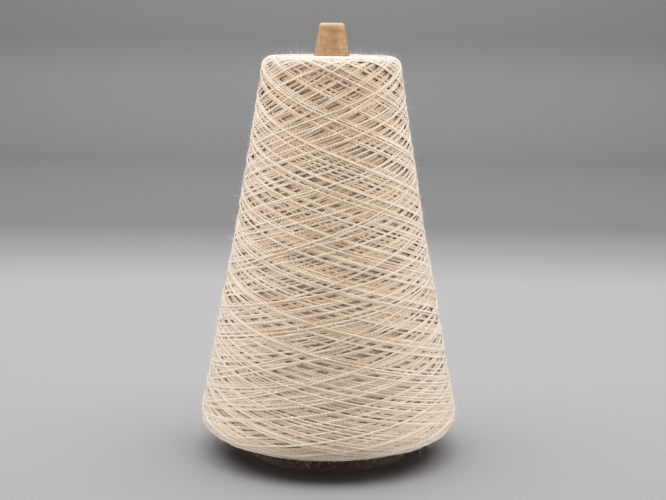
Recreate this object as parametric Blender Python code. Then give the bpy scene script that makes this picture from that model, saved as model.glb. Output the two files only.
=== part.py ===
"""A cone of yarn: a tapered paper tube, open at both ends, with a package of yarn cross-wound on it.

The tube stands on its wide rim at z = 0, and its axis is +Z. Both pieces are turned bodies. A profile is
drawn in the XZ plane and spun about Z. The yarn's skin is then moved out or in by the two crossing
families of winding ridges, and its bore, within BORE_MARGIN of the tube, stays round. All lengths are
metres.
"""

import math

import bmesh
import bpy
from mathutils import Vector

# Paper tube
TUBE_HEIGHT = 0.178
BASE_RADIUS = 0.0345
NOSE_RADIUS = 0.0050
WALL = 0.0016
NOSE_EDGE_RADIUS = 0.0012
BASE_EDGE_CHAMFER = 0.0003
TUBE_RINGS = (0.25, 0.5, 0.75, 0.93)
NOSE_STEPS = 4
TUBE_SEGMENTS = 72

# Yarn package
YARN_GAP = 0.0003
BORE_MARGIN = 0.003
PACKAGE_BOTTOM = 0.0083
PACKAGE_TOP = 0.1648
TOP_SHOULDER = 0.0049
BOTTOM_SHOULDER_DEPTH = 0.0084
BOTTOM_SHOULDER_REACH = 0.0097
SHOULDER_STEPS = 6
FLANK_STEPS = 36
PACKAGE_SEGMENTS = 80

# The wound flank, from its lower shoulder to its upper one.
FLANK_ROWS = (
    # height, radius
    (0.0167, 0.0540),
    (0.0400, 0.0494),
    (0.0650, 0.0450),
    (0.0900, 0.0400),
    (0.1150, 0.0359),
    (0.1400, 0.0317),
    (0.1599, 0.0287),
)

# Winding: the rise of one turn of yarn at each end of the flank, and the ridges that the turns build up.
# RIDGE_MEAN is about the mean height of two crossing families, as a share of RIDGE_HEIGHT.
RISE_PER_TURN_BOTTOM = 0.068
RISE_PER_TURN_TOP = 0.092
RIDGES_EACH_WAY = 4
RIDGE_HEIGHT = 0.0006
RIDGE_SHARPNESS = 3
RIDGE_MEAN = 0.5

KRAFT_BROWN = (0.46, 0.29, 0.15, 1.0)
NATURAL_CREAM = (0.76, 0.66, 0.52, 1.0)


def clear_scene():
    """Removes the objects that the file opened with."""
    for found in list(bpy.data.objects):
        bpy.data.objects.remove(found)


def finish(name, colour, roughness):
    """A Principled material with one colour and roughness."""
    material = bpy.data.materials.new(name)
    material.use_nodes = True
    shader = material.node_tree.nodes["Principled BSDF"]
    shader.inputs["Base Color"].default_value = colour
    shader.inputs["Roughness"].default_value = roughness
    shader.inputs["Metallic"].default_value = 0.0
    material.diffuse_color = colour
    return material


def taper():
    """How much the tube's radius falls for each metre of height."""
    return (BASE_RADIUS - NOSE_RADIUS) / TUBE_HEIGHT


def tube_radius(height):
    """Outer radius of the tube's straight taper at a height."""
    return BASE_RADIUS - taper() * height


def quarter_arc(centre, reach, rise, start, steps):
    """Points (radius, height) on a quarter of an ellipse, up from the start angle in degrees.

    Angle 0 points straight out from the axis and 90 straight up. Reach and rise are the half axes.
    """
    points = []
    for step in range(steps + 1):
        angle = math.radians(start + 90.0 * step / steps)
        points.append((centre[0] + reach * math.cos(angle), centre[1] + rise * math.sin(angle)))
    return points


def tube_profile():
    """The tube's closed section: up the outside, over the rounded nose, and down the inside."""
    radial_wall = WALL * math.hypot(1.0, taper())
    round_height = TUBE_HEIGHT - NOSE_EDGE_RADIUS
    round_centre = (tube_radius(round_height) - NOSE_EDGE_RADIUS, round_height)
    outside = [
        (BASE_RADIUS - BASE_EDGE_CHAMFER, 0.0),
        (tube_radius(BASE_EDGE_CHAMFER), BASE_EDGE_CHAMFER),
    ]
    outside += [
        (tube_radius(TUBE_HEIGHT * share), TUBE_HEIGHT * share)
        for share in TUBE_RINGS
    ]
    nose = quarter_arc(round_centre, NOSE_EDGE_RADIUS, NOSE_EDGE_RADIUS, 0.0, NOSE_STEPS)
    hole_radius = tube_radius(TUBE_HEIGHT) - radial_wall
    inside = [
        (hole_radius, TUBE_HEIGHT - BASE_EDGE_CHAMFER),
        (BASE_RADIUS - radial_wall, 0.0),
    ]
    return outside + nose + inside


def flank_radius(height):
    """Radius of the flank at a height: a smooth curve through FLANK_ROWS (Catmull-Rom)."""
    rows = FLANK_ROWS
    low = 0
    while low < len(rows) - 2 and rows[low + 1][0] < height:
        low += 1
    (z0, r0), (z1, r1) = rows[low], rows[low + 1]
    before = rows[max(low - 1, 0)]
    after = rows[min(low + 2, len(rows) - 1)]
    slope0 = (r1 - before[1]) / (z1 - before[0])
    slope1 = (after[1] - r0) / (after[0] - z0)
    share = (height - z0) / (z1 - z0)
    span = z1 - z0
    return (
        (2 * share**3 - 3 * share**2 + 1) * r0
        + (share**3 - 2 * share**2 + share) * span * slope0
        + (3 * share**2 - 2 * share**3) * r1
        + (share**3 - share**2) * span * slope1
    )


def package_profile():
    """The package's closed section: round the lower shoulder, up the flank, over the top and down the bore."""
    flank_low, flank_high = FLANK_ROWS[0][0], FLANK_ROWS[-1][0]
    low_centre = (FLANK_ROWS[0][1] - BOTTOM_SHOULDER_REACH, flank_low)
    high_centre = (FLANK_ROWS[-1][1] - TOP_SHOULDER, flank_high)
    radial_gap = YARN_GAP * math.hypot(1.0, taper())
    bore_low = tube_radius(PACKAGE_BOTTOM) + radial_gap
    bore_high = tube_radius(PACKAGE_TOP) + radial_gap
    shoulder = quarter_arc(low_centre, BOTTOM_SHOULDER_REACH, BOTTOM_SHOULDER_DEPTH, -90.0, SHOULDER_STEPS)
    flank = []
    for step in range(1, FLANK_STEPS):
        height = flank_low + (flank_high - flank_low) * step / FLANK_STEPS
        flank.append((flank_radius(height), height))
    crown = quarter_arc(high_centre, TOP_SHOULDER, TOP_SHOULDER, 0.0, SHOULDER_STEPS)
    top_middle = ((crown[-1][0] + bore_high) / 2, PACKAGE_TOP)
    outside = shoulder + flank + crown
    return outside + [top_middle, (bore_high, PACKAGE_TOP), (bore_low, PACKAGE_BOTTOM)]


def turns_below(height):
    """Angle, in radians, that a strand has gone round between the lower shoulder and a height.

    The rise of a turn grows evenly up the flank, so the angle is a logarithm of the rise there.
    """
    low, high = FLANK_ROWS[0][0], FLANK_ROWS[-1][0]
    growth = (RISE_PER_TURN_TOP - RISE_PER_TURN_BOTTOM) / (high - low)
    height = min(max(height, low), high)
    rise = RISE_PER_TURN_BOTTOM + growth * (height - low)
    return 2 * math.pi * math.log(rise / RISE_PER_TURN_BOTTOM) / growth


def ridge(phase):
    """One family's cross-section: 1 on the crest of a ridge, falling to 0 in the trough between two."""
    return (0.5 + 0.5 * math.cos(phase)) ** RIDGE_SHARPNESS


def ridge_rise(angle, height):
    """How far the crossing winding ridges lift the skin at a point.

    The two families start half a ridge apart, so that they interleave round the lower shoulder, and they
    fade out over both shoulders. The mean rise is taken off, which keeps the package's girth.
    """
    low, high = FLANK_ROWS[0][0], FLANK_ROWS[-1][0]
    fade = min(1.0, max(0.0, (height - PACKAGE_BOTTOM) / (low - PACKAGE_BOTTOM)))
    fade *= min(1.0, max(0.0, (PACKAGE_TOP - height) / (PACKAGE_TOP - high)))
    wound = turns_below(height)
    right_hand = ridge(RIDGES_EACH_WAY * (angle - wound))
    left_hand = ridge(RIDGES_EACH_WAY * (angle + wound) + math.pi)
    return RIDGE_HEIGHT * fade * (max(right_hand, left_hand) - RIDGE_MEAN)


def spun_mesh(name, profile, segments):
    """A mesh made by spinning a closed (radius, height) profile once round Z."""
    body = bmesh.new()
    corners = [body.verts.new((radius, 0.0, height)) for radius, height in profile]
    edges = [
        body.edges.new((corner, corners[(index + 1) % len(corners)]))
        for index, corner in enumerate(corners)
    ]
    bmesh.ops.spin(
        body,
        geom=corners + edges,
        cent=(0.0, 0.0, 0.0),
        axis=(0.0, 0.0, 1.0),
        dvec=(0.0, 0.0, 0.0),
        angle=2 * math.pi,
        steps=segments,
        use_duplicate=False,
    )
    bmesh.ops.remove_doubles(body, verts=body.verts, dist=1e-6)
    bmesh.ops.recalc_face_normals(body, faces=body.faces)
    mesh = bpy.data.meshes.new(name)
    body.to_mesh(mesh)
    body.free()
    return mesh


def add_object(name, mesh, material):
    """An object in the scene that shows the mesh, smooth but for its sharp edges."""
    mesh.materials.append(material)
    mesh.shade_smooth()
    mesh.set_sharp_from_angle(angle=math.radians(40))
    made = bpy.data.objects.new(name, mesh)
    bpy.context.scene.collection.objects.link(made)
    return made


def build_tube():
    """The tapered paper tube, open at its base and at its nose."""
    mesh = spun_mesh("paper_tube", tube_profile(), TUBE_SEGMENTS)
    return add_object("paper_tube", mesh, finish("kraft_paper", KRAFT_BROWN, 0.75))


def build_package():
    """The wound yarn: a thick tapered sleeve round the tube, with rounded shoulders and crossing ridges."""
    mesh = spun_mesh("yarn_package", package_profile(), PACKAGE_SEGMENTS)
    for vertex in mesh.vertices:
        place = Vector(vertex.co)
        outward = Vector((place.x, place.y, 0.0)).normalized()
        if math.hypot(place.x, place.y) > tube_radius(place.z) + BORE_MARGIN:
            vertex.co = place + outward * ridge_rise(math.atan2(place.y, place.x), place.z)
    return add_object("yarn_package", mesh, finish("natural_yarn", NATURAL_CREAM, 0.95))


clear_scene()
build_tube()
build_package()
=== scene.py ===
"""Looks of a cone of yarn: a package of undyed two-ply yarn, cross-wound on a tapered paper tube.

The package is wound here as a winding machine winds it. Each stroke of the traverse lays one helix of yarn
up or down the cone, the yarn rests on what is already wound, and it is pulled taut between the strands
that it crosses. All lengths are metres, +Z is up and the tube stands on z = 0.
"""

import logging
import math
from dataclasses import dataclass, field
from enum import Enum

import bpy
import numpy as np
from mathutils import Matrix, Vector


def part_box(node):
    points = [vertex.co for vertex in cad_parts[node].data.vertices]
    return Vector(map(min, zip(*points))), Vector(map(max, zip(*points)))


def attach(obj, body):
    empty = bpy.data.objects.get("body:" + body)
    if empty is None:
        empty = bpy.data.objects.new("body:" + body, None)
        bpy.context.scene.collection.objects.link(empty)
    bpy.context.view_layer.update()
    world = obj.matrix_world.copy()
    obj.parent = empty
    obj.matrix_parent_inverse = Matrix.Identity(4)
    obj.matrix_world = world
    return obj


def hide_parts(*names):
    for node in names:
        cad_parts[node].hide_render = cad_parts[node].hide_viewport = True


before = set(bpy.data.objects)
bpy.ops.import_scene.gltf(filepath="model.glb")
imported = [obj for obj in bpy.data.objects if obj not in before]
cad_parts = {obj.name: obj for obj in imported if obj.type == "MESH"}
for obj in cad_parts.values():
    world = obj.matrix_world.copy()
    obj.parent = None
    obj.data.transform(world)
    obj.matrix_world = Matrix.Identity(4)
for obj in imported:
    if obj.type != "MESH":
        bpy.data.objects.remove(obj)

MM = 0.001
TURN = 2 * math.pi
LOG = logging.getLogger("cone_of_yarn")

Array = np.ndarray
Span = tuple[float, float]
Colour = tuple[float, float, float, float]
Point = tuple[float, float, float]
Socket = bpy.types.NodeSocket
Piece = bpy.types.Object
Material = bpy.types.Material


class Node(Enum):
    """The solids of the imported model."""

    TUBE = "paper_tube"
    PACKAGE = "yarn_package"


class Slot(Enum):
    """The finishes that the record names."""

    KRAFT = "kraft_paper"
    YARN = "natural_yarn"


class Stroke(Enum):
    """Which way the traverse carries the yarn while the cone turns."""

    RISING = 1
    FALLING = -1


class Face(Enum):
    """A flat end of the package, where the turns of the inner layers show."""

    UNDERSIDE = -1
    TOP = 1


# ---------------------------------------------------------------- curves and meshes


def smooth_through(known_x: Array, known_y: Array, wanted: Array) -> Array:
    """A smooth curve through a few points: cubic pieces whose slopes are those of their neighbours' chords.

    Args:
        known_x: places of the points, rising.
        known_y: the value at each point.
        wanted: places to read the curve at.

    Returns:
        The curve's value at each wanted place.
    """
    slope = np.gradient(known_y, known_x)
    low = np.clip(np.searchsorted(known_x, wanted, side="right") - 1, 0, len(known_x) - 2)
    span = known_x[low + 1] - known_x[low]
    t = (wanted - known_x[low]) / span
    return (
        (2 * t**3 - 3 * t**2 + 1) * known_y[low]
        + (t**3 - 2 * t**2 + t) * span * slope[low]
        + (3 * t**2 - 2 * t**3) * known_y[low + 1]
        + (t**3 - t**2) * span * slope[low + 1]
    )


def smoothed(values: Array, width: int) -> Array:
    """A running mean over an odd number of samples, with the ends held."""
    padded = np.pad(values, width // 2, mode="edge")
    return np.convolve(padded, np.ones(width) / width, mode="valid")


def unit(vectors: Array) -> Array:
    """Each vector, divided by its length."""
    return vectors / np.maximum(np.linalg.norm(vectors, axis=-1, keepdims=True), 1e-12)


def ellipse_arc(centre: Span, reach: float, rise: float, start: float, count: int) -> Array:
    """A quarter of an ellipse in the (radius, height) plane.

    Args:
        centre: the ellipse's centre.
        reach: half axis away from the cone's axis.
        rise: half axis along the cone's axis.
        start: first angle in degrees, where 0 points outwards and 90 up.
        count: number of points.

    Returns:
        Rows of radius and height.
    """
    angle = np.radians(np.linspace(start, start + 90.0, count))
    return np.stack([centre[0] + reach * np.cos(angle), centre[1] + rise * np.sin(angle)], axis=1)


@dataclass
class MeshParts:
    """Points, faces and texture places that are gathered up before they become one mesh."""

    points: list[Array] = field(default_factory=list)
    corners: list[Array] = field(default_factory=list)
    sizes: list[Array] = field(default_factory=list)
    places: list[Array] = field(default_factory=list)
    depths: list[Array] = field(default_factory=list)
    count: int = 0

    def add(self, points: Array, faces: Array, places: Array, depth: Array | None = None) -> None:
        """Adds a block of faces that all have the same number of corners.

        Args:
            points: the block's points, three columns.
            faces: one row of point numbers for each face, counted from the block's first point.
            places: the texture place of each corner of each face, two columns.
            depth: how far under the package's crests each point lies, or None for a piece that has no depths.
        """
        self.points.append(points)
        self.add_faces(faces + self.count, places)
        self.count += len(points)
        if depth is not None:
            self.depths.append(depth)

    def add_faces(self, faces: Array, places: Array) -> None:
        """Adds faces on points that are already here, numbered from the first of all.

        Args:
            faces: one row of point numbers for each face.
            places: the texture place of each corner of each face, two columns.
        """
        self.corners.append(faces.ravel())
        self.sizes.append(np.full(len(faces), faces.shape[1]))
        self.places.append(places.reshape(-1, 2))

    def mesh(self, name: str) -> bpy.types.Mesh:
        """Puts everything into one smooth mesh with a texture map.

        Args:
            name: the mesh's name.

        Returns:
            The mesh.
        """
        points = np.concatenate(self.points).astype(np.float32)
        corners = np.concatenate(self.corners).astype(np.int32)
        sizes = np.concatenate(self.sizes).astype(np.int32)
        made = bpy.data.meshes.new(name)
        made.vertices.add(len(points))
        made.vertices.foreach_set("co", points.ravel())
        made.loops.add(len(corners))
        made.loops.foreach_set("vertex_index", corners)
        made.polygons.add(len(sizes))
        made.polygons.foreach_set("loop_start", np.concatenate([[0], np.cumsum(sizes)[:-1]]).astype(np.int32))
        made.update(calc_edges=True)
        layer = made.uv_layers.new(name="lay")
        layer.uv.foreach_set("vector", np.concatenate(self.places).astype(np.float32).ravel())
        if self.depths:
            values = made.attributes.new("depth", "FLOAT", "POINT")
            values.data.foreach_set("value", np.concatenate(self.depths).astype(np.float32))
        made.validate()
        made.shade_smooth()
        return made


def grid_faces(rows: int, columns: int, closed: bool) -> Array:
    """Quads of a grid of points that is stored row by row.

    Args:
        rows: number of rows of points.
        columns: number of points in a row.
        closed: whether a row's last point joins its first.

    Returns:
        One row of four point numbers for each quad.
    """
    row = np.arange(rows - 1)[:, None] * columns
    column = np.arange(columns if closed else columns - 1)[None, :]
    after = (column + 1) % columns
    quads = np.stack([row + column, row + after, row + columns + after, row + columns + column], axis=-1)
    return quads.reshape(-1, 4)


def wrapped_places(values: Array, columns: int) -> Array:
    """Texture places on the quads of a closed grid: each row's own value, and the share of the way round.

    Args:
        values: one value for each row of points.
        columns: number of points in a row.

    Returns:
        Four rows of two numbers for each quad.
    """
    row = np.repeat(np.arange(len(values) - 1), columns)
    turn = np.tile(np.arange(columns), len(values) - 1) / columns
    near, far, after = values[row], values[row + 1], turn + 1 / columns
    corners = [(near, turn), (near, after), (far, after), (far, turn)]
    return np.stack([np.stack(corner, axis=-1) for corner in corners], axis=1)


def add_tube(
    parts: MeshParts,
    centres: Array,
    outward: Array,
    along: Array,
    depth: Array,
    half: Span,
    sides: int,
) -> None:
    """Carries an oval section along a path and closes both ends.

    The point at angle a round the path is centre + half_width * cos(a) * sideways + half_height * sin(a) *
    outwards. The texture place is (length along the path, share of the way round).

    Args:
        parts: where the tube goes.
        centres: the path.
        outward: unit vectors that point away from the package at each point of the path.
        along: length of yarn at each point of the path.
        depth: how far the path lies under the package's crests.
        half: half width and half height of the section.
        sides: number of points round the section.
    """
    rows = len(centres)
    tangent = unit(np.gradient(centres, axis=0))
    sideways = unit(np.cross(tangent, outward))
    up = np.cross(sideways, tangent)
    angle = TURN * np.arange(sides) / sides
    ring = (
        half[0] * np.cos(angle)[None, :, None] * sideways[:, None, :]
        + half[1] * np.sin(angle)[None, :, None] * up[:, None, :]
    )
    points = (centres[:, None, :] + ring).reshape(-1, 3)
    quads = grid_faces(rows, sides, True)
    places = wrapped_places(along, sides)
    start = parts.count
    parts.add(points, quads[:, ::-1], places[:, ::-1], np.repeat(depth, sides))
    ends = np.stack([np.arange(sides), np.arange(sides)[::-1] + (rows - 1) * sides]) + start
    caps = np.zeros((2, sides, 2))
    caps[0, :, 0] = along[0]
    caps[1, :, 0] = along[-1]
    parts.add_faces(ends, caps)


def add_object(name: str, mesh: bpy.types.Mesh, material: Material) -> Piece:
    """An object at the origin that shows the mesh in one material.

    Args:
        name: the object's name.
        mesh: its mesh.
        material: what all of the mesh is made of.

    Returns:
        The object.
    """
    mesh.materials.append(material)
    made = bpy.data.objects.new(name, mesh)
    bpy.context.scene.collection.objects.link(made)
    return made


def report(piece: Piece) -> None:
    """Logs a piece's name, its number of triangles and its size.

    Args:
        piece: the piece.
    """
    size = ", ".join(f"{side / MM:.1f}" for side in piece.dimensions)
    triangles = sum(len(face.vertices) - 2 for face in piece.data.polygons)
    LOG.info("%s: %d triangles, %s mm", piece.name, triangles, size)


# ---------------------------------------------------------------- materials


class Graph:
    """A material's nodes, with short calls to add them."""

    def __init__(self, name: str) -> None:
        """Makes the material, and keeps its Principled shader.

        Args:
            name: the material's name.
        """
        self.material = bpy.data.materials.new(name)
        self.material.use_nodes = True
        self.nodes = self.material.node_tree.nodes
        self.links = self.material.node_tree.links
        self.shader = self.nodes["Principled BSDF"]

    def put(self, socket: Socket, value: object) -> None:
        """Sets a socket to a number or a colour, or links an output to it.

        Args:
            socket: the input.
            value: the number, the colour or the output.
        """
        if isinstance(value, Socket):
            self.links.new(value, socket)
        else:
            socket.default_value = value

    def node(self, kind: str, inputs: dict[str, object], **settings: object) -> bpy.types.Node:
        """Adds a node.

        Args:
            kind: the node's type, without the words ShaderNode.
            inputs: what each named input holds.
            settings: the node's own properties.

        Returns:
            The node.
        """
        made = self.nodes.new("ShaderNode" + kind)
        for name, value in settings.items():
            setattr(made, name, value)
        for name, value in inputs.items():
            self.put(made.inputs[name], value)
        return made

    def math(self, operation: str, first: object, second: object = 0.0, third: object = 0.0) -> Socket:
        """The result of one sum on one, two or three numbers.

        Args:
            operation: the sum's name.
            first: a number or an output, as the next two are.
            second: the second number.
            third: the third number.

        Returns:
            The sum's output.
        """
        made = self.nodes.new("ShaderNodeMath")
        made.operation = operation
        for socket, value in zip(made.inputs, (first, second, third)):
            self.put(socket, value)
        return made.outputs[0]

    def blend(self, share: object, low: object, high: object) -> Socket:
        """A colour between two colours.

        Args:
            share: how much of the second colour, from 0 to 1.
            low: the first colour.
            high: the second colour.

        Returns:
            The blended colour.
        """
        made = self.nodes.new("ShaderNodeMix")
        made.data_type = "RGBA"
        self.put(made.inputs[0], share)
        self.put(made.inputs[6], low)
        self.put(made.inputs[7], high)
        return made.outputs[2]

    def spread(
        self, value: object, low: float, high: float, to_low: float = 0.0, to_high: float = 1.0
    ) -> Socket:
        """A number moved from one range to another, and held inside it."""
        inputs = {"Value": value, "From Min": low, "From Max": high, "To Min": to_low, "To Max": to_high}
        return self.node("MapRange", inputs).outputs["Result"]

    def noise(self, place: object, scale: float, detail: float = 2.0, roughness: float = 0.5) -> Socket:
        """Soft noise from 0 to 1 at a place."""
        inputs = {"Vector": place, "Scale": scale, "Detail": detail, "Roughness": roughness}
        return self.node("TexNoise", inputs).outputs["Fac"]

    def scaled(self, place: object, scale: Point) -> Socket:
        """A place with each of its directions stretched."""
        return self.node("Mapping", {"Vector": place, "Scale": scale}).outputs["Vector"]

    def parted(self, place: object) -> list[Socket]:
        """A place's three parts."""
        return list(self.node("SeparateXYZ", {"Vector": place}).outputs)

    def object_place(self) -> Socket:
        """The point's place on its own object."""
        return self.nodes.new("ShaderNodeTexCoord").outputs["Object"]

    def depth(self) -> Socket:
        """How far the point lies under the package's crests."""
        return self.node("Attribute", {}, attribute_name="depth").outputs["Fac"]

    def lay(self) -> Socket:
        """The point's place on the piece's own texture map."""
        return self.node("UVMap", {}, uv_map="lay").outputs["UV"]

    def bump(self, height: object, distance: float) -> None:
        """Gives the shader a relief, where 1 stands for a distance in metres."""
        made = self.node("Bump", {"Height": height, "Distance": distance})
        self.links.new(made.outputs["Normal"], self.shader.inputs["Normal"])

    def dress(self, **inputs: object) -> Material:
        """Sets the Principled shader's inputs, with underscores for the spaces in their names.

        Args:
            inputs: what each input holds.

        Returns:
            The material.
        """
        for name, value in inputs.items():
            self.put(self.shader.inputs[name.replace("_", " ")], value)
        return self.material


@dataclass(frozen=True)
class YarnFinish:
    """Undyed wool yarn: two plies twisted together, creamy on their crowns. Painted shade makes the grooves
    between the plies browner, sunken strands darker and warmer, and the lower package darker and greyer; a
    painted highlight makes the top shoulder whiter and greyer.
    """

    crown: Colour = (0.80, 0.69, 0.53, 1.0)
    tan: Colour = (0.73, 0.58, 0.415, 1.0)
    # groove: painted shade, the browner tone of the grooves between the two plies.
    groove: Colour = (0.625, 0.455, 0.305, 1.0)
    # deep and its warm variant: painted shade for strands sunk under the crests, warmed as light bounced
    # between strands would warm them.
    deep: Colour = (0.53, 0.335, 0.172, 1.0)
    gap_shade_warm: Colour = (0.475, 0.258, 0.098, 1.0)
    sheen_tint: Colour = (0.98, 0.99, 1.0, 1.0)
    # low: painted shade, the darker, greyer tone that the lower package turns towards.
    low: Colour = (0.50, 0.40, 0.305, 1.0)
    bottom_shade_from: float = 20 * MM
    bottom_shade_to: float = 150 * MM
    bottom_shade_share: float = 0.34
    # Painted highlight: a whiter, greyer tone on the top shoulder, where the overhead light falls strongest.
    top_highlight: Colour = (0.74, 0.72, 0.68, 1.0)
    top_highlight_from: float = 160.5 * MM
    top_highlight_to: float = 166.0 * MM
    top_highlight_share: float = 0.65
    gap_shade_from: float = 0.26 * MM
    gap_shade_to: float = 0.65 * MM
    gap_shade_share: float = 0.85
    patch_scale: float = 260.0
    patch_span: Span = (0.5, 0.68)
    tone_span: Span = (0.38, 0.62)
    length_scale: float = 45.0
    cloud_scale: float = 60.0
    length_share: float = 0.7
    ply_shade_height: float = 0.55
    ply_shade_share: float = 0.75
    fibre_scale: float = 2600.0
    fibre_span: Span = (0.62, 0.75)
    fibre_share: float = 0.35
    twist: float = 2.4 * MM
    relief: float = 0.13 * MM
    roughness: float = 0.85
    sheen_weight: float = 1.0
    sheen_roughness: float = 0.6

    def material(self) -> Material:
        """The material of a strand, whose texture map holds length and the way round.

        The height of the two plies at angle a round the strand and length u along it is
        |cos(a - 2 pi u / twist)|: two rounded crowns that wind round, with a sharp groove between them.

        Returns:
            The material.
        """
        graph = Graph("yarn_strand")
        place = graph.lay()
        length, way_round, _ = graph.parted(place)
        turns = graph.math("MULTIPLY_ADD", length, -1 / self.twist, way_round)
        plies = graph.math("ABSOLUTE", graph.math("COSINE", graph.math("MULTIPLY", turns, TURN)))
        along = graph.noise(graph.scaled(place, (1.0, 0.0, 0.0)), self.length_scale, 3.0, 0.6)
        fibres = graph.noise(graph.object_place(), self.fibre_scale, 2.0, 0.6)
        cloud = graph.noise(graph.object_place(), self.cloud_scale)
        clouds = graph.math("MULTIPLY", cloud, 1 - self.length_share)
        tone = graph.math("MULTIPLY_ADD", along, self.length_share, clouds)
        crowns = graph.blend(graph.spread(tone, *self.tone_span), self.crown, self.tan)
        # Painted shade: towards the groove between the plies the colour turns to the browner groove colour.
        ply_shade = graph.spread(plies, 0.0, self.ply_shade_height, self.ply_shade_share, 0.0)
        colour = graph.blend(ply_shade, crowns, self.groove)
        speck = graph.spread(fibres, *self.fibre_span, 0.0, self.fibre_share)
        colour = graph.blend(speck, colour, self.tan)
        # Painted shade: the further a strand lies under the crests, the darker and warmer its colour.
        sunk = graph.spread(graph.depth(), self.gap_shade_from, self.gap_shade_to, 0.0, self.gap_shade_share)
        patches = graph.spread(graph.noise(graph.object_place(), self.patch_scale), *self.patch_span)
        colour = graph.blend(sunk, colour, graph.blend(patches, self.deep, self.gap_shade_warm))
        height = graph.parted(graph.object_place())[2]
        # Painted shade: towards the bottom the colour turns to the darker, greyer low tone.
        shade = graph.spread(height, self.bottom_shade_from, self.bottom_shade_to, self.bottom_shade_share, 0.0)
        colour = graph.blend(shade, colour, self.low)
        # Painted highlight: on the top shoulder the colour turns whiter and greyer.
        top_highlighted = graph.spread(height, self.top_highlight_from, self.top_highlight_to, 0.0, self.top_highlight_share)
        colour = graph.blend(top_highlighted, colour, self.top_highlight)
        graph.bump(graph.math("MULTIPLY_ADD", fibres, self.fibre_share, plies), self.relief)
        return graph.dress(
            Base_Color=colour,
            Roughness=self.roughness,
            Sheen_Weight=self.sheen_weight,
            Sheen_Roughness=self.sheen_roughness,
            Sheen_Tint=self.sheen_tint,
        )


@dataclass(frozen=True)
class UnderlayerFinish:
    """The layers under the outer turns: the same yarn, as two crossing families of close strands, painted
    darker as the shade under the outer turns and darker still between strands.
    """

    # Painted shade: a darker copy of the yarn's colours, darkest in the grooves between strands.
    crown: Colour = (0.56, 0.42, 0.30, 1.0)
    groove: Colour = (0.37, 0.25, 0.15, 1.0)
    strands_each_way: int = 70
    offsets: Span = (0.0, 7.3)
    drift_scale: float = 30.0
    layer_scale: float = 90.0
    layer_share: float = 0.8
    height_span: Span = (0.5, 1.4)
    relief: float = 0.45 * MM
    roughness: float = 0.95

    def material(self) -> Material:
        """The material of the inner surface, whose texture map counts turns along each family.

        A family's strands are the lines where its own coordinate is a whole number of spacings, and the
        height across one is |cos(pi * strands * coordinate)|. The higher of the two families shows.

        Returns:
            The material.
        """
        graph = Graph("yarn_underlayer")
        heights = []
        for coordinate, offset in zip(graph.parted(graph.lay()), self.offsets):
            drift = graph.noise(graph.object_place(), self.drift_scale + offset, 1.0)
            count = graph.math("MULTIPLY_ADD", coordinate, self.strands_each_way, drift)
            family = graph.math("ABSOLUTE", graph.math("COSINE", graph.math("MULTIPLY", count, math.pi)))
            layer = graph.noise(graph.object_place(), self.layer_scale + offset)
            heights.append(graph.math("MULTIPLY_ADD", layer, self.layer_share, family))
        height = graph.math("MAXIMUM", *heights)
        # Painted shade: low between the strands the colour turns to the dark groove tone.
        colour = graph.blend(graph.spread(height, *self.height_span), self.groove, self.crown)
        graph.bump(height, self.relief)
        return graph.dress(Base_Color=colour, Roughness=self.roughness)


@dataclass(frozen=True)
class FuzzFinish:
    """Loose wool fibres: pale, thin and slightly glossy."""

    pale: Colour = (0.92, 0.86, 0.76, 1.0)
    straw: Colour = (0.80, 0.68, 0.52, 1.0)
    cloud_scale: float = 220.0
    cloud_span: Span = (0.4, 0.6)
    roughness: float = 0.6

    def material(self) -> Material:
        """The fibres' material, paler in some places than in others.

        Returns:
            The material.
        """
        graph = Graph("yarn_fuzz")
        cloud = graph.noise(graph.object_place(), self.cloud_scale)
        colour = graph.blend(graph.spread(cloud, *self.cloud_span), self.pale, self.straw)
        return graph.dress(Base_Color=colour, Roughness=self.roughness)


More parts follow.
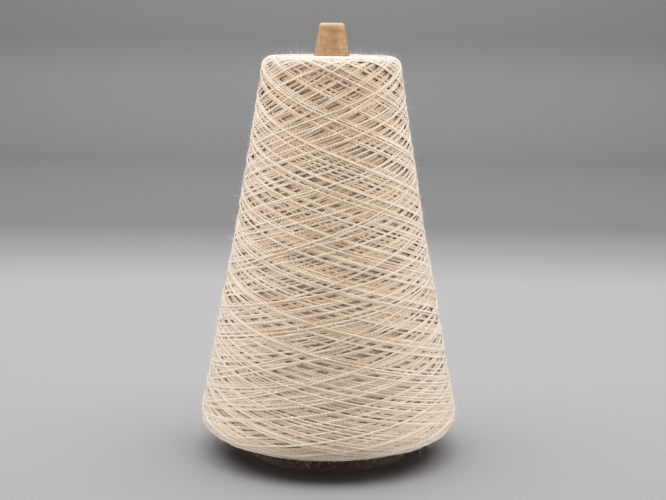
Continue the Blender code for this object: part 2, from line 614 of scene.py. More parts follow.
@dataclass(frozen=True)
class KraftFinish:
    """Brown kraft paper in wound plies, with a paler ring at the nose's top edge and a painted shadow at its
    foot: a near-black strip with dark brown blotches.
    """

    pale: Colour = (0.43, 0.257, 0.122, 1.0)
    brown: Colour = (0.275, 0.148, 0.061, 1.0)
    dark: Colour = (0.17, 0.085, 0.035, 1.0)
    # Painted shadow at the tube's foot: a near-black strip, blotched with dark brown.
    foot_shadow: Colour = (0.03, 0.018, 0.011, 1.0)
    foot_shadow_blotch: Colour = (0.11, 0.065, 0.032, 1.0)
    foot_shadow_height: float = 9 * MM
    foot_shadow_edge: float = 1.2 * MM
    foot_shadow_ragged: float = 2.0 * MM
    # A paler ring at the nose's top edge.
    rim_pale: Colour = (0.68, 0.53, 0.40, 1.0)
    rim_pale_from: float = 176.4 * MM
    rim_pale_to: float = 177.9 * MM
    rim_pale_share: float = 0.75
    rim_pale_ragged: float = 1.2 * MM
    mottle_scale: float = 420.0
    mottle_stretch: Point = (1.0, 1.0, 0.35)
    grain_scale: float = 1800.0
    grain_stretch: Point = (1.0, 1.0, 0.12)
    grain_span: Span = (0.56, 0.74)
    grain_share: float = 0.55
    speck_scale: float = 1500.0
    speck_span: Span = (0.66, 0.78)
    speck_share: float = 0.6
    ring_scale: float = 620.0
    ring_stretch: Point = (0.25, 0.25, 1.6)
    ring_share: float = 0.55
    tone_span: Span = (0.36, 0.64)
    blotch_scale: float = 520.0
    blotch_stretch: Point = (1.0, 1.0, 1.6)
    blotch_span: Span = (0.48, 0.66)
    rough_grain: Span = (0.3, 0.7)
    rough_span: Span = (0.62, 0.85)
    relief: float = 0.08 * MM

    def material(self) -> Material:
        """The paper's material: mottled fibres, fine specks and the faint lines of its wound plies.

        The near-black strip of painted shadow ends where height + ragged * mottle passes the strip's height,
        and the paler nose edge starts in the same way, so neither edge is a clean line.

        Returns:
            The material.
        """
        graph = Graph("kraft_paper_wound")
        place = graph.object_place()
        mottle = graph.noise(graph.scaled(place, self.mottle_stretch), self.mottle_scale, 4.0, 0.65)
        grain = graph.noise(graph.scaled(place, self.grain_stretch), self.grain_scale, 3.0, 0.6)
        speck = graph.noise(place, self.speck_scale, 1.0)
        rings = graph.noise(graph.scaled(place, self.ring_stretch), self.ring_scale, 3.0, 0.6)
        mottled = graph.math("MULTIPLY", mottle, 1 - self.ring_share)
        tone = graph.math("MULTIPLY_ADD", rings, self.ring_share, mottled)
        colour = graph.blend(graph.spread(tone, *self.tone_span), self.pale, self.brown)
        colour = graph.blend(graph.spread(grain, *self.grain_span, 0.0, self.grain_share), colour, self.dark)
        colour = graph.blend(graph.spread(speck, *self.speck_span, 0.0, self.speck_share), colour, self.dark)
        # Painted shadow: the near-black, blotched strip at the tube's foot.
        blotch = graph.noise(graph.scaled(place, self.blotch_stretch), self.blotch_scale, 3.0, 0.7)
        foot_shadow_colour = graph.blend(graph.spread(blotch, *self.blotch_span), self.foot_shadow, self.foot_shadow_blotch)
        height = graph.parted(place)[2]
        edge = graph.math("MULTIPLY_ADD", mottle, self.foot_shadow_ragged, height)
        share = graph.spread(edge, self.foot_shadow_height, self.foot_shadow_height + self.foot_shadow_edge, 1.0, 0.0)
        colour = graph.blend(share, colour, foot_shadow_colour)
        # The paler ring at the nose's top edge, with a ragged lower edge.
        level = graph.math("SUBTRACT", height, self.rim_pale_ragged / 2)
        rim_edge = graph.math("MULTIPLY_ADD", tone, self.rim_pale_ragged, level)
        rim_edge_share = graph.spread(rim_edge, self.rim_pale_from, self.rim_pale_to, 0.0, self.rim_pale_share)
        colour = graph.blend(rim_edge_share, colour, self.rim_pale)
        graph.bump(graph.math("ADD", grain, mottle), self.relief)
        rough = graph.spread(grain, *self.rough_grain, *self.rough_span)
        return graph.dress(Base_Color=colour, Roughness=rough)


@dataclass(frozen=True)
class SweepFinish:
    """Matt studio paper with painted light and shade: pale on the floor round the cone and slightly paler
    towards the back, darker beyond it, paler again up the wall.
    """

    # Painted light and shade: near and back make the floor slightly paler towards the back, far darkens it
    # beyond, and wall is the upright's darker tone.
    near: Colour = (0.490, 0.493, 0.498, 1.0)
    back: Colour = (0.512, 0.514, 0.517, 1.0)
    far: Colour = (0.258, 0.259, 0.260, 1.0)
    wall: Colour = (0.345, 0.346, 0.348, 1.0)
    back_at: float = 0.35
    far_shade_from: float = 0.36
    far_shade_to: float = 0.61
    wall_shade_to: float = 0.10
    tooth_scale: float = 900.0
    tooth: float = 0.02 * MM
    roughness: float = 0.9

    def material(self) -> Material:
        """The paper's material, with painted shade graduated by how far back and how high up it is.

        Returns:
            The material.
        """
        graph = Graph("studio_paper")
        _, rear, height = graph.parted(graph.object_place())
        # Painted shade: the floor darkens far behind the cone and turns to the wall's darker tone as it
        # rises, with a slight painted lightening just behind the cone.
        floor_shade = graph.blend(graph.spread(rear, 0.0, self.back_at), self.near, self.back)
        floor_shade = graph.blend(graph.spread(rear, self.far_shade_from, self.far_shade_to), floor_shade, self.far)
        colour = graph.blend(graph.spread(height, 0.0, self.wall_shade_to), floor_shade, self.wall)
        graph.bump(graph.noise(graph.object_place(), self.tooth_scale), self.tooth)
        return graph.dress(Base_Color=colour, Roughness=self.roughness)


# ---------------------------------------------------------------- the package's form and its winding


@dataclass(frozen=True)
class Outline:
    """The package's outer section, from the tube at the underside round to the tube at the top.

    A place on it is the length along it, from where the underside meets the tube.
    """

    flank_height: tuple[float, ...] = (0.0167, 0.0400, 0.0650, 0.0900, 0.1150, 0.1400, 0.1599)
    flank_radius: tuple[float, ...] = (0.0540, 0.0494, 0.0450, 0.0400, 0.0359, 0.0317, 0.0287)
    lower_reach: float = 0.0097
    upper_shoulder: float = 0.0049
    tube_gap: float = 0.0003
    step: float = 0.4 * MM
    lower_points: int = 30
    flank_points: int = 240
    upper_points: int = 24
    normal_width: int = 9

    def corners(self) -> Array:
        """The outline's points: quarter ellipses round both shoulders, and a smooth curve up the flank.

        The underside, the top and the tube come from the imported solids' boxes.

        Returns:
            Rows of radius and height.
        """
        low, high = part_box(Node.PACKAGE.value)
        tube_low, tube_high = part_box(Node.TUBE.value)
        base_radius, height = tube_high.x, tube_high.z - tube_low.z
        nose_radius = PaperTube.nose_radius
        tube_radius = np.interp([low.z, high.z], [0.0, height], [base_radius, nose_radius]) + self.tube_gap
        first, last = self.flank_height[0], self.flank_height[-1]
        lower_centre = (self.flank_radius[0] - self.lower_reach, first)
        upper_centre = (self.flank_radius[-1] - self.upper_shoulder, last)
        heights = np.linspace(first, last, self.flank_points)[1:-1]
        radii = smooth_through(np.array(self.flank_height), np.array(self.flank_radius), heights)
        return np.concatenate(
            [
                [[tube_radius[0], low.z]],
                ellipse_arc(lower_centre, self.lower_reach, first - low.z, -90.0, self.lower_points),
                np.stack([radii, heights], axis=1),
                ellipse_arc(upper_centre, self.upper_shoulder, high.z - last, 0.0, self.upper_points),
                [[tube_radius[1], high.z]],
            ]
        )

    def sample(self) -> "OutlineSamples":
        """The outline at even steps, with its outward normals.

        Returns:
            The samples.
        """
        corners = self.corners()
        lengths = np.concatenate([[0.0], np.cumsum(np.hypot(*np.diff(corners, axis=0).T))])
        place = np.arange(0.0, lengths[-1], self.step)
        radius = np.interp(place, lengths, corners[:, 0])
        height = np.interp(place, lengths, corners[:, 1])
        slopes = [smoothed(np.gradient(column), self.normal_width) for column in (radius, height)]
        slope = unit(np.stack(slopes, axis=1))
        return OutlineSamples(place, radius, height, slope[:, 1], -slope[:, 0])


@dataclass(frozen=True)
class OutlineSamples:
    """The outline as arrays: place, radius, height, and the normal's two parts."""

    place: Array
    radius: Array
    height: Array
    normal_out: Array
    normal_up: Array

    def at(self, column: Array, place: Array) -> Array:
        """One of the arrays, read at any places."""
        return np.interp(place, self.place, column)

    def points(self, angle: Array, place: Array, lift: Array) -> Array:
        """Points at an angle round the axis and a place on the outline, lifted along the normal.

        Args:
            angle: angles round the axis.
            place: places on the outline.
            lift: how far each point stands off the outline.

        Returns:
            The points, three columns.
        """
        angle, place, lift = np.broadcast_arrays(angle, place, lift)
        radius = self.at(self.radius, place) + lift * self.at(self.normal_out, place)
        height = self.at(self.height, place) + lift * self.at(self.normal_up, place)
        return np.stack([radius * np.cos(angle), radius * np.sin(angle), height], axis=-1)

    def normals(self, angle: Array, place: Array) -> Array:
        """Outward unit normals at an angle and a place."""
        out, up = self.at(self.normal_out, place), self.at(self.normal_up, place)
        return np.stack([out * np.cos(angle), out * np.sin(angle), up], axis=-1)


@dataclass(frozen=True)
class Strand:
    """A laid length of yarn: angle round the axis, place on the outline, and lift of its middle."""

    angle: Array
    place: Array
    lift: Array

    def part(self, first: int, last: int) -> "Strand":
        """The strand from one sample to another, both included."""
        kept = slice(first, last + 1)
        return Strand(self.angle[kept], self.place[kept], self.lift[kept])

    def tucked(self, depth: float, samples: int) -> "Strand":
        """The strand with both its ends pushed in under what lies over them.

        Args:
            depth: how far the very ends go in.
            samples: over how many samples they do so, evenly.

        Returns:
            The tucked strand.
        """
        number = np.arange(len(self.lift))
        to_end = np.minimum(number, number[::-1])
        share = np.clip(1 - to_end / samples, 0.0, 1.0)
        return Strand(self.angle, self.place, self.lift - depth * share)


def chained(strands: list[Strand]) -> Strand:
    """Strands that follow each other, as one unbroken strand.

    Args:
        strands: the strands in order, where each starts at the last sample of the one before.

    Returns:
        The strand, without the very last sample.
    """
    return Strand(
        np.concatenate([strand.angle[:-1] for strand in strands]),
        np.concatenate([strand.place[:-1] for strand in strands]),
        np.concatenate([strand.lift[:-1] for strand in strands]),
    )


@dataclass
class Relief:
    """The height of what is wound so far, on a grid of angle and place."""

    around: int
    rows: int
    step: float
    height: Array = field(init=False)

    def __post_init__(self) -> None:
        """Starts with bare, level ground."""
        self.height = np.zeros((self.rows, self.around))

    def cells(self, angle: Array, place: Array) -> tuple[Array, Array]:
        """Row and column of the cell under each point.

        Args:
            angle: angles round the axis.
            place: places on the outline.

        Returns:
            The rows, and the columns.
        """
        row = np.clip(np.rint(place / self.step).astype(int), 0, self.rows - 1)
        column = np.rint(angle / TURN * self.around).astype(int) % self.around
        return row, column

    def windows(self, values: Array, reach: int) -> list[Array]:
        """The grid, moved by each whole number of cells up to a reach: along its rows, and across them.

        Args:
            values: one value for each cell.
            reach: number of cells to move each way.

        Returns:
            The grids that are moved along the rows, and those that are moved across.
        """
        shifts = range(-reach, reach + 1)
        rows = np.arange(self.rows)
        along = [np.roll(values, shift, axis=1) for shift in shifts]
        across = [values[np.clip(rows + shift, 0, self.rows - 1)] for shift in shifts]
        return [np.stack(along), np.stack(across)]

    def crests(self, reach: tuple[int, int], blur: tuple[int, int]) -> Array:
        """How high the wound surface's crests stand near each cell: the highest cell within a reach, blurred.

        Args:
            reach: number of cells to look for a crest, round the package and along the outline.
            blur: number of cells to smooth over, round the package and along the outline.

        Returns:
            One height for each cell.
        """
        made = self.windows(self.height, reach[0])[0].max(axis=0)
        made = self.windows(made, reach[1])[1].max(axis=0)
        for _ in range(2):
            made = self.windows(made, blur[0])[0].mean(axis=0)
            made = self.windows(made, blur[1])[1].mean(axis=0)
        return made


@dataclass
class Winding:
    """The traverse strokes that lay the outer yarn, and the turns that show at the package's two ends."""

    strokes: int = 200
    rise_bottom: float = 68 * MM
    rise_top: float = 92 * MM
    half_width: float = 0.46 * MM
    half_height: float = 0.40 * MM
    sink: float = 0.55 * MM
    ratio: float = 0.809
    phase_jitter: float = 0.012
    slope_wander: float = 0.035
    wander_waves: Span = (0.6, 2.2)
    turn_bottom: float = 5.0 * MM
    turn_top: float = 2.6 * MM
    bottom_reach: Span = (9.5 * MM, 20.0 * MM)
    top_reach: Span = (175.5 * MM, 181.0 * MM)
    sample: float = 0.22 * MM
    rest: float = 1.1 * MM
    settle_rounds: int = 40
    settle_width: int = 5
    face_overlap: float = 2.0 * MM
    face_samples: int = 120
    slow_waves: Span = (1.2, 1.9)
    fast_waves: Span = (2.2, 3.1)
    slow_share: float = 0.6
    tuck: float = 3.0 * MM
    tuck_samples: int = 110
    stroke_samples: int = 1201
    feelers: int = 7
    feeler_reach: float = 0.9
    around: int = 768
    seed: int = 11

    def __post_init__(self) -> None:
        """Samples the outline and clears the ground."""
        self.form = Outline().sample()
        self.ground = Relief(self.around, len(self.form.place), Outline.step)
        self.random = np.random.default_rng(self.seed)

    def rise(self, place: Array) -> Array:
        """Rise of one turn at a place, which grows evenly up the flank.

        Args:
            place: places on the outline.

        Returns:
            The rise at each place.
        """
        low, high = self.bottom_reach[1], self.top_reach[0]
        share = np.clip((place - low) / (high - low), 0.0, 1.0)
        return self.rise_bottom + share * (self.rise_top - self.rise_bottom)

    def stroke(self, start_angle: float, low: float, high: float, way: Stroke) -> tuple[Array, Array]:
        """The path of one stroke between its two turning places.

        The place moves as mid + half * sin(f) for f from -90 to 90 degrees. The angle is the integral of
        d(place) / (rise / 2 pi), where the rise falls off as the square root of the distance to a turning
        place, so that the yarn rounds the end in a smooth arc. The rise also wanders by a slow wave.

        Args:
            start_angle: angle at which the stroke starts.
            low: lower turning place.
            high: upper turning place.
            way: rising or falling.

        Returns:
            Angles and places at even lengths along the yarn.
        """
        half, middle = (high - low) / 2, (high + low) / 2
        turn = np.linspace(-math.pi / 2, math.pi / 2, self.stroke_samples)
        between = (turn[1:] + turn[:-1]) / 2
        place = middle + half * np.sin(between)
        waves, offset = self.random.uniform(*self.wander_waves), self.random.uniform(0.0, TURN)
        wander = 1 + self.slope_wander * np.sin(TURN * waves * (place - low) / (high - low) + offset)
        rounding = np.sqrt(np.clip((place - low) / self.turn_bottom, 0.0, 1.0))
        rounding *= np.sqrt(np.clip((high - place) / self.turn_top, 0.0, 1.0))
        steps = half * np.cos(between) * (turn[1] - turn[0])
        angle_steps = steps * TURN / (self.rise(place) * wander * rounding)
        places = middle + half * np.sin(turn)
        if way is Stroke.FALLING:
            places, angle_steps = places[::-1], angle_steps[::-1]
        angles = start_angle + np.concatenate([[0.0], np.cumsum(angle_steps)])
        return self.even(angles, places)

    def even(self, angles: Array, places: Array) -> tuple[Array, Array]:
        """The same path, sampled at even lengths of yarn.

        Args:
            angles: the path's angles.
            places: the path's places.

        Returns:
            Angles and places at even lengths.
        """
        radius = self.form.at(self.form.radius, places)
        across = np.diff(angles) * (radius[1:] + radius[:-1]) / 2
        length = np.concatenate([[0.0], np.cumsum(np.hypot(np.diff(places), across))])
        wanted = np.arange(0.0, length[-1], self.sample)
        wanted[-1] = length[-1]
        return np.interp(wanted, length, angles), np.interp(wanted, length, places)

    def footprint(self, angles: Array, places: Array) -> tuple[Array, Array, Array]:
        """The cells under a path, and how high the yarn's section is over each.

        At an offset x across the yarn, the section stands half_height * sqrt(1 - (x / half_width)^2) high.

        Args:
            angles: the path's angles.
            places: the path's places.

        Returns:
            Rows and columns of the cells, one line for each offset across the yarn, and the section's height
            at each offset.
        """
        offsets = np.linspace(-self.feeler_reach, self.feeler_reach, self.feelers) * self.half_width
        radius = self.form.at(self.form.radius, places)
        run, climb = np.gradient(angles) * radius, np.gradient(places)
        size = np.hypot(run, climb)
        side_angle = angles + offsets[:, None] * (climb / size) / radius
        side_place = places - offsets[:, None] * (run / size)
        row, column = self.ground.cells(side_angle, side_place)
        section = self.half_height * np.sqrt(1 - (offsets / self.half_width) ** 2)
        return row, column, section

    def lay(self, angles: Array, places: Array, first_lift: float | None) -> Strand:
        """Lays one length of yarn on the ground and raises the ground by it.

        The yarn's middle has to clear the ground by its own section, less what it sinks in. It is then pulled
        taut: each point drops to the mean of its neighbours, less the sag that follows the package's
        curve, wherever the ground lets it.

        Args:
            angles: the path's angles, at even lengths.
            places: the path's places.
            first_lift: the lift to start from, or None to start free.

        Returns:
            The laid strand.
        """
        row, column, section = self.footprint(angles, places)
        need = (self.ground.height[row, column] + section[:, None]).max(axis=0) - self.sink
        group = max(int(self.rest / self.sample), 1)
        blocks = -(-len(need) // group)
        padded = np.pad(need, (0, blocks * group - len(need)), mode="edge")
        support = padded.reshape(blocks, group).max(axis=1)
        centre = (np.arange(blocks) + 0.5) * group
        if first_lift is not None:
            support[0] = first_lift
        radius = np.interp(centre, np.arange(len(places)), self.form.at(self.form.radius, places))
        sag = 0.5 * self.rest**2 / radius
        lift = support.copy()
        for _ in range(self.settle_rounds):
            slack = np.pad(lift, 1, mode="edge")
            lift = np.maximum(support, (slack[:-2] + slack[2:]) / 2 - sag)
        lift = smoothed(np.interp(np.arange(len(places)), centre, lift), self.settle_width)
        if first_lift is not None:
            lift[0] = first_lift
        top = np.broadcast_to(lift + section[:, None], row.shape)
        np.maximum.at(self.ground.height, (row, column), top)
        return Strand(angles, places, lift)

    def wind(self) -> Strand:
        """Lays every stroke, each from where the last one ended.

        Returns:
            The whole yarn as one strand, deepest first, with its ends tucked in.
        """
        laid: list[Strand] = []
        angle, lift = 0.0, None
        low = self.random.uniform(*self.bottom_reach)
        high = self.random.uniform(*self.top_reach)
        for number in range(self.strokes):
            way = Stroke.RISING if number % 2 == 0 else Stroke.FALLING
            angles, places = self.stroke(angle, low, high, way)
            if way is Stroke.RISING:
                wanted = number / 2 * self.ratio * TURN + self.random.normal(0.0, self.phase_jitter) * TURN
                slip = (wanted - angles[-1] + math.pi) % TURN - math.pi
                angles = angles + slip * np.linspace(0.0, 1.0, len(angles))
                low = self.random.uniform(*self.bottom_reach)
            else:
                high = self.random.uniform(*self.top_reach)
            strand = self.lay(angles, places, lift)
            laid.append(strand)
            angle, lift = strand.angle[-1], strand.lift[-1]
        return chained(laid).tucked(self.tuck, self.tuck_samples)

    def face_turns(self, face: Face, spacing: float, bow: float) -> Strand:
        """Yarn on a flat end, where the turning ends of the inner layers show, as one long wavering spiral.

        The place moves evenly from the tube outwards, plus bow times a sum of two sines of the angle whose
        waves don't fit into a turn, so that no two turns waver alike and they cross each other.

        Args:
            face: which end.
            spacing: mean distance from one turn to the next.
            bow: how far the spiral wavers each way.

        Returns:
            The strand, laid turn by turn.
        """
        last = self.form.place[-1]
        inner, outer = 0.0, self.bottom_reach[0] + self.face_overlap
        if face is Face.TOP:
            inner, outer = last, self.top_reach[0] + self.face_overlap
        turns = int(abs(outer - inner) / spacing)
        angle = np.linspace(0.0, TURN * turns, self.face_samples * turns + 1)
        angle = self.random.uniform(0.0, TURN) + angle
        slow, fast = self.random.uniform(*self.slow_waves), self.random.uniform(*self.fast_waves)
        waver = self.slow_share * np.sin(slow * angle) + (1 - self.slow_share) * np.sin(fast * angle)
        spot = np.linspace(inner, outer, len(angle)) + bow * waver
        angles, places = self.even(angle, np.clip(spot, self.half_width, last - self.half_width))
        laid: list[Strand] = []
        lift = None
        for part in np.array_split(np.arange(len(angles) - 1), turns):
            kept = np.append(part, part[-1] + 1)
            laid.append(self.lay(angles[kept], places[kept], lift))
            lift = laid[-1].lift[-1]
        return chained(laid).tucked(self.tuck, self.tuck_samples)


# ---------------------------------------------------------------- the object's pieces


@dataclass
class YarnPackage:
    """The wound yarn: an inner surface, the outer strand in banks, the turns at its ends, loose fibres."""

    banks: int = 4
    sides: int = 5
    stride: float = 2.0 * MM
    half_section: Span = (0.45 * MM, 0.41 * MM)
    crest_reach: tuple[int, int] = (8, 3)
    crest_blur: tuple[int, int] = (7, 3)
    face_spacing: float = 0.85 * MM
    face_bows: tuple[float, ...] = (2.6 * MM, 1.8 * MM)
    packing: float = 0.75
    deepest: float = 1.4 * MM
    inner_depth: float = 1.5 * MM
    inner_columns: int = 144
    inner_stride: int = 4
    fibre_lots: int = 2
    fibres: int = 8500
    fibre_radius: float = 0.028 * MM
    fibre_stations: tuple[float, ...] = (0.0, 0.4, 0.75)
    fibre_taper: float = 0.6
    fibre_shape: float = 3.0
    fibre_scale: float = 0.6 * MM
    fibre_lengths: Span = (0.6 * MM, 4.5 * MM)
    fibre_root: float = 0.3
    fibre_lean: float = 0.55
    fibre_curl: float = 0.75
    fibre_depth: float = 1.6 * MM
    fibre_from: float = 13.0 * MM
    seed: int = 5

    def build(self) -> list[Piece]:
        """Winds the package and makes its pieces.

        Returns:
            The pieces, the inner surface first.
        """
        winding = Winding()
        ends = [winding.face_turns(face, self.face_spacing, bow) for face in Face for bow in self.face_bows]
        wound = winding.wind()
        self.form = winding.form
        self.ground = winding.ground
        self.crest = self.ground.crests(self.crest_reach, self.crest_blur)
        yarn = YarnFinish().material()
        pieces = [self.inner_surface(winding)]
        cuts = np.linspace(0, len(wound.angle) - 1, self.banks + 1).astype(int)
        for bank in range(self.banks):
            length = wound.part(cuts[bank], cuts[bank + 1])
            pieces.append(self.strand_piece(f"yarn_strands_{bank + 1}", [length], yarn))
        pieces.append(self.strand_piece("yarn_end_turns", ends, yarn))
        every = chained([wound, *ends])
        for lot in range(self.fibre_lots):
            pieces.append(self.fuzz(f"yarn_fuzz_{lot + 1}", every, self.seed + lot))
        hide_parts(Node.PACKAGE.value)
        for piece in pieces:
            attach(piece, "root")
        return pieces

    def settled(self, strand: Strand) -> Array:
        """A strand's lift over the outline, once the package's crests are brought level with it.

        The depth d of a strand below the crests becomes limit * (1 - exp(-d / limit)): the outer layers keep
        their spacing and the deep ones are pressed together.

        Args:
            strand: the laid strand.

        Returns:
            The lift of its middle, negative below the outline.
        """
        depth = self.packing * (self.crest[self.ground.cells(strand.angle, strand.place)] - strand.lift)
        pressed = self.deepest * (1 - np.exp(-np.maximum(depth, 0.0) / self.deepest))
        return -np.where(depth > 0.0, pressed, depth)

    def strand_piece(self, name: str, strands: list[Strand], material: Material) -> Piece:
        """One piece made of closed tubes along strands.

        Args:
            name: the piece's name.
            strands: the strands, sampled finely.
            material: the yarn's material.

        Returns:
            The piece.
        """
        parts = MeshParts()
        for strand in strands:
            every = max(int(round(self.stride / Winding.sample)), 1)
            kept = np.unique(np.append(np.arange(0, len(strand.angle), every), len(strand.angle) - 1))
            angle, place = strand.angle[kept], strand.place[kept]
            lift = self.settled(strand)[kept]
            centres = self.form.points(angle, place, lift)
            outward = self.form.normals(angle, place)
            add_tube(parts, centres, outward, kept * Winding.sample, -lift, self.half_section, self.sides)
        return add_object(name, parts.mesh(name), material)

    def inner_surface(self, winding: Winding) -> Piece:
        """The closed surface under the outer strands: the outline, sunk by the wound depth, and the bore.

        The texture map's two coordinates are (angle - wound) / 2 pi and (angle + wound) / 2 pi, where
        wound is the angle a strand goes round up to that place. Each is constant along one family.

        Args:
            winding: the winding, for its rise at each place.

        Returns:
            The piece.
        """
        form = self.form
        places = np.append(form.place[: -1 : self.inner_stride], form.place[-1])
        columns = self.inner_columns
        angle = TURN * np.arange(columns) / columns
        wound = np.cumsum(TURN / winding.rise(places) * np.gradient(places)) / TURN
        wound = np.append(wound, wound[0])
        points = form.points(angle[None, :], places[:, None], np.array(-self.inner_depth))
        rows = len(places)
        quads = grid_faces(rows + 1, columns, True) % (rows * columns)
        gone, turn = np.moveaxis(wrapped_places(wound, columns), -1, 0)
        parts = MeshParts()
        parts.add(points.reshape(-1, 3), quads, np.stack([turn - gone, turn + gone], axis=-1))
        return add_object("yarn_inner", parts.mesh("yarn_inner"), UnderlayerFinish().material())

    def fuzz(self, name: str, yarn: Strand, seed: int) -> Piece:
        """Loose fibres on the outer strands: thin three-sided hairs that end in a point.

        A hair's middle is root + length * (t * heading + t^2 / 2 * curl), and its radius falls evenly with t.
        The first third of the yarn lies too deep for its fibres to show, so none grow there.

        Args:
            name: the piece's name.
            yarn: all of the laid yarn, the wound strands first and deepest first.
            seed: start of the random draws.

        Returns:
            The piece.
        """
        random = np.random.default_rng(seed)
        outer = yarn.part(len(yarn.angle) // 3, len(yarn.angle) - 1)
        lift = self.settled(outer)
        high = np.flatnonzero((lift > -self.fibre_depth) & (outer.place > self.fibre_from))
        pick = random.choice(high, self.fibres)
        angle, place = outer.angle[pick], outer.place[pick]
        normal = self.form.normals(angle, place)
        root = self.form.points(angle, place, lift[pick] + self.fibre_root * self.half_section[1])
        heading = unit(unit(random.normal(size=(self.fibres, 3))) + self.fibre_lean * normal)
        curl = random.normal(scale=self.fibre_curl, size=(self.fibres, 3))
        length = random.gamma(self.fibre_shape, self.fibre_scale, size=self.fibres).clip(*self.fibre_lengths)
        t = np.array(self.fibre_stations)
        span = length[:, None, None]
        middle = root[:, None] + span * (
            t[None, :, None] * heading[:, None] + 0.5 * t[None, :, None] ** 2 * curl[:, None]
        )
        tip = root + length[:, None] * (heading + 0.5 * curl)
        side = unit(np.cross(heading, random.normal(size=(self.fibres, 3))))
        other = np.cross(heading, side)
        sides = 3
        spin = TURN * np.arange(sides) / sides
        ring = np.cos(spin)[:, None] * side[:, None, :] + np.sin(spin)[:, None] * other[:, None, :]
        radius = self.fibre_radius * (1 - self.fibre_taper * t)
        body = middle[:, :, None, :] + radius[None, :, None, None] * ring[:, None, :, :]
        count = len(t) * sides + 1
        points = np.concatenate([body.reshape(self.fibres, -1, 3), tip[:, None]], axis=1)
        quads = grid_faces(len(t), sides, True)
        last = (len(t) - 1) * sides
        tips = [[last + k, last + (k + 1) % sides, last + sides] for k in range(sides)]
        fans = np.array([*tips, [2, 1, 0]])
        base = (np.arange(self.fibres) * count)[:, None, None]
        parts = MeshParts()
        faces = (quads[None] + base).reshape(-1, 4)
        parts.add(points.reshape(-1, 3), faces, np.zeros((len(faces), 4, 2)))
        caps = (fans[None] + base).reshape(-1, 3)
        parts.add_faces(caps, np.zeros((len(caps), 3, 2)))
        return add_object(name, parts.mesh(name), FuzzFinish().material())


@dataclass
class PaperTube:
    """The tapered paper tube: a turned shell, open at both ends, with a rounded nose and a crisp base rim."""

    nose_radius: float = 0.0050
    wall: float = 0.0016
    nose_round: float = 0.0015
    nose_rise: float = 0.0034
    base_edge: float = 0.0003
    segments: int = 144
    rings: int = 12
    nose_points: int = 10
    sharp_from: float = 50.0

    def build(self) -> list[Piece]:
        """Makes the tube.

        Returns:
            The tube, as a list of one piece.
        """
        low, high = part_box(Node.TUBE.value)
        height, base = high.z - low.z, high.x
        taper = (base - self.nose_radius) / height
        wall = self.wall * math.hypot(1.0, taper)
        round_height = height - self.nose_rise
        centre = (base - taper * round_height - self.nose_round, round_height)
        up = np.linspace(self.base_edge, round_height, self.rings)[:-1]
        down = np.linspace(height - self.base_edge, 0.0, self.rings)
        hole = self.nose_radius - wall
        profile = np.concatenate(
            [
                [[base - self.base_edge, 0.0]],
                np.stack([base - taper * up, up], axis=1),
                ellipse_arc(centre, self.nose_round, self.nose_rise, 0.0, self.nose_points),
                np.stack([hole + taper * (height - down), down], axis=1),
            ]
        )
        rows = len(profile)
        angle = TURN * np.arange(self.segments) / self.segments
        radius, level = profile[:, :1], np.repeat(profile[:, 1:], self.segments, axis=1)
        points = np.stack([radius * np.cos(angle), radius * np.sin(angle), level], axis=-1)
        quads = grid_faces(rows + 1, self.segments, True) % (rows * self.segments)
        places = wrapped_places(np.arange(rows + 1) / rows, self.segments)[..., ::-1]
        parts = MeshParts()
        parts.add(points.reshape(-1, 3), quads, places)
        mesh = parts.mesh("paper_tube_wound")
        mesh.set_sharp_from_angle(angle=math.radians(self.sharp_from))
        piece = add_object("paper_tube_wound", mesh, KraftFinish().material())
        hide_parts(Node.TUBE.value)
        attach(piece, "root")
        return [piece]


# ---------------------------------------------------------------- the studio


class Reach(Enum):
    """What a softbox lights: the whole studio, the cone alone, or the paper alone, as behind a flag."""

    STUDIO = "studio"
    CONE = "cone"
    PAPER = "paper"


@dataclass(frozen=True)
class Softbox:
    """A large soft light."""

    name: str
    place: Point
    target: Point
    size: Span
    watts: float
    reach: Reach

    def build(self, lit: dict[Reach, bpy.types.Collection]) -> Piece:
        """Makes the light, turned to face its target.

        Args:
            lit: what a light of each narrow reach is kept to.

        Returns:
            The light.
        """
        lamp = bpy.data.lights.new(self.name, "AREA")
        lamp.shape = "RECTANGLE"
        lamp.size, lamp.size_y = self.size
        lamp.energy = self.watts
        made = bpy.data.objects.new(self.name, lamp)
        bpy.context.scene.collection.objects.link(made)
        away = Vector(self.place) - Vector(self.target)
        made.location = self.place
        made.rotation_euler = away.to_track_quat("Z", "Y").to_euler()
        if self.reach in lit:
            made.light_linking.receiver_collection = lit[self.reach]
        return made


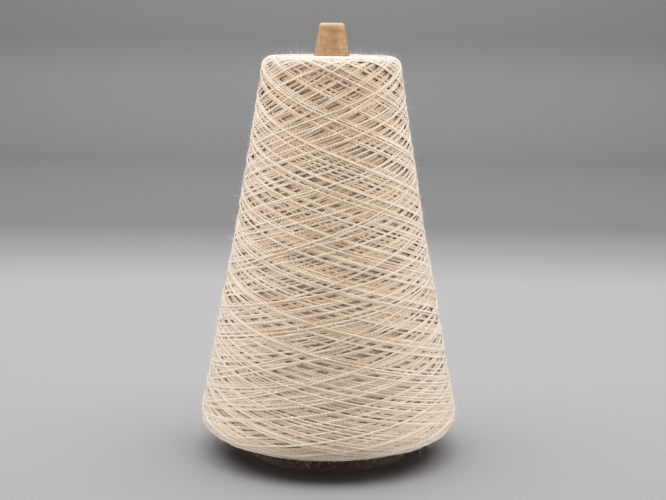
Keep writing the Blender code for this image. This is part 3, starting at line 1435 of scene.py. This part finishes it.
@dataclass
class Studio:
    """The pale paper sweep, the lights and the camera."""

    half_width: float = 2.0
    front: float = -2.0
    bend_start: float = 1.15
    bend_radius: float = 0.15
    bend_points: int = 25
    wall_top: float = 1.6
    ambient: float = 0.06
    camera_place: Point = (0.0013, -0.560, 0.18127)
    camera_pitch: float = 9.79
    camera_roll: float = 0.527
    lens: float = 73.7
    sensor: float = 36.0
    softboxes: tuple[Softbox, ...] = (
        Softbox("overhead", (0.0, 0.05, 0.80), (0.0, 0.00, 0.0), (1.50, 0.90), 10.4, Reach.STUDIO),
        Softbox("left", (-0.70, -0.20, 0.25), (0.0, 0.0, 0.09), (0.45, 0.60), 5.4, Reach.CONE),
        Softbox("right", (0.70, -0.20, 0.25), (0.0, 0.0, 0.09), (0.45, 0.60), 5.4, Reach.CONE),
        Softbox("front", (0.0, -0.95, 0.35), (0.0, 0.0, 0.08), (0.90, 0.60), 2.9, Reach.CONE),
        Softbox("backdrop", (0.0, 0.95, 0.80), (0.0, 1.40, 0.0), (1.60, 0.50), 6.5, Reach.PAPER),
    )

    def build(self, pieces: list[Piece]) -> None:
        """Makes the sweep, the lights, the world and the camera.

        Args:
            pieces: the object's own pieces.
        """
        shown = {Reach.CONE: pieces, Reach.PAPER: [self.sweep()]}
        lit = {reach: bpy.data.collections.new(reach.value) for reach in shown}
        for reach, objects in shown.items():
            for made in objects:
                lit[reach].objects.link(made)
        for softbox in self.softboxes:
            softbox.build(lit)
        world = bpy.data.worlds.new("studio")
        world.use_nodes = True
        background = world.node_tree.nodes["Background"]
        background.inputs["Color"].default_value = (1.0, 1.0, 1.0, 1.0)
        background.inputs["Strength"].default_value = self.ambient
        bpy.context.scene.world = world
        bpy.context.scene.view_settings.view_transform = "Standard"
        self.camera()

    def sweep(self) -> Piece:
        """One sheet of paper: a flat floor, a quarter bend and an upright wall, carried across its width.

        Returns:
            The sweep.
        """
        bend = self.bend_radius
        profile = np.concatenate(
            [
                [[self.front, 0.0]],
                ellipse_arc((self.bend_start, bend), bend, bend, -90.0, self.bend_points),
                [[self.bend_start + bend, self.wall_top]],
            ]
        )
        across = np.array([-self.half_width, self.half_width])
        points = np.stack(np.broadcast_arrays(across, profile[:, :1], profile[:, 1:]), axis=-1)
        parts = MeshParts()
        quads = grid_faces(len(profile), 2, False)
        parts.add(points.reshape(-1, 3), quads, np.zeros((len(quads), 4, 2)))
        made = add_object("studio_sweep", parts.mesh("studio_sweep"), SweepFinish().material())
        return made

    def camera(self) -> Piece:
        """The camera, level with the nose and pitched down.

        Returns:
            The camera.
        """
        lens = bpy.data.cameras.new("camera")
        lens.lens = self.lens
        lens.sensor_width = self.sensor
        lens.clip_start = 10 * MM
        made = bpy.data.objects.new("camera", lens)
        bpy.context.scene.collection.objects.link(made)
        turn = Matrix.Rotation(math.radians(90.0 - self.camera_pitch), 4, "X")
        roll = Matrix.Rotation(math.radians(self.camera_roll), 4, "Z")
        made.matrix_world = Matrix.Translation(self.camera_place) @ turn @ roll
        bpy.context.scene.camera = made
        return made


def main() -> None:
    """Builds the tube, the package and the studio."""
    logging.basicConfig(level=logging.INFO, format="%(name)s %(message)s")
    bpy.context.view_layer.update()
    pieces = PaperTube().build() + YarnPackage().build()
    for piece in pieces:
        report(piece)
    Studio().build(pieces)


if __name__ == "__main__":
    main()
